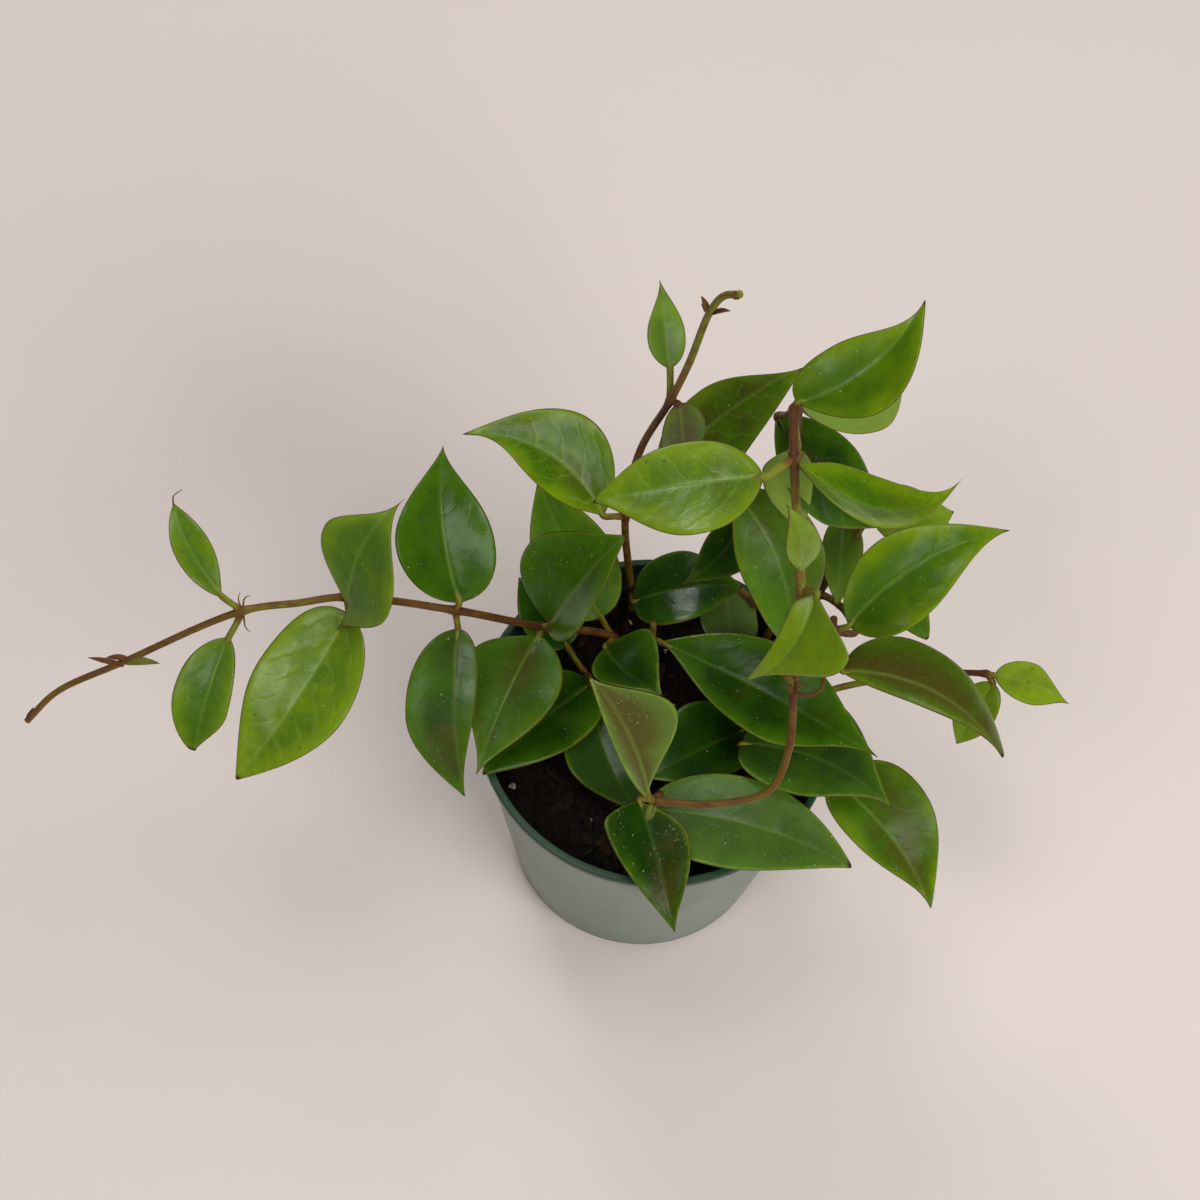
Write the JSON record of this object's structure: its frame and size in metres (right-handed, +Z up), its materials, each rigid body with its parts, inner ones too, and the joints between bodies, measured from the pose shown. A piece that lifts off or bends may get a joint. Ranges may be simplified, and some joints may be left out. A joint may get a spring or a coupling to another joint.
{
  "type": "potted trailing plant",
  "caption": "Young trailing hoya with glossy pointed leaves on thin woody vines, growing in a round tapered nursery pot filled with bark soil.",
  "frame": {"origin": "middle of the pot's flat underside, where it stands", "axes": "+Z up out of the pot, +X to the right and +Y away from the side it is usually looked at from; the longest vine trails to -X"},
  "size_m": [0.2915, 0.1289, 0.2366],
  "materials": {
    "pot_plastic": "satin",
    "soil": "matte",
    "foliage": "satin"
  },
  "bodies": {
    "root": {"pot": "pot_plastic", "soil": "soil", "vine_left": "foliage", "vine_top": "foliage", "vine_arch": "foliage", "vine_right": "foliage", "vine_runner": "foliage", "vine_middle": "foliage", "vine_low": "foliage", "vine_front": "foliage", "vine_front_right": "foliage"}
  },
  "joints": []
}
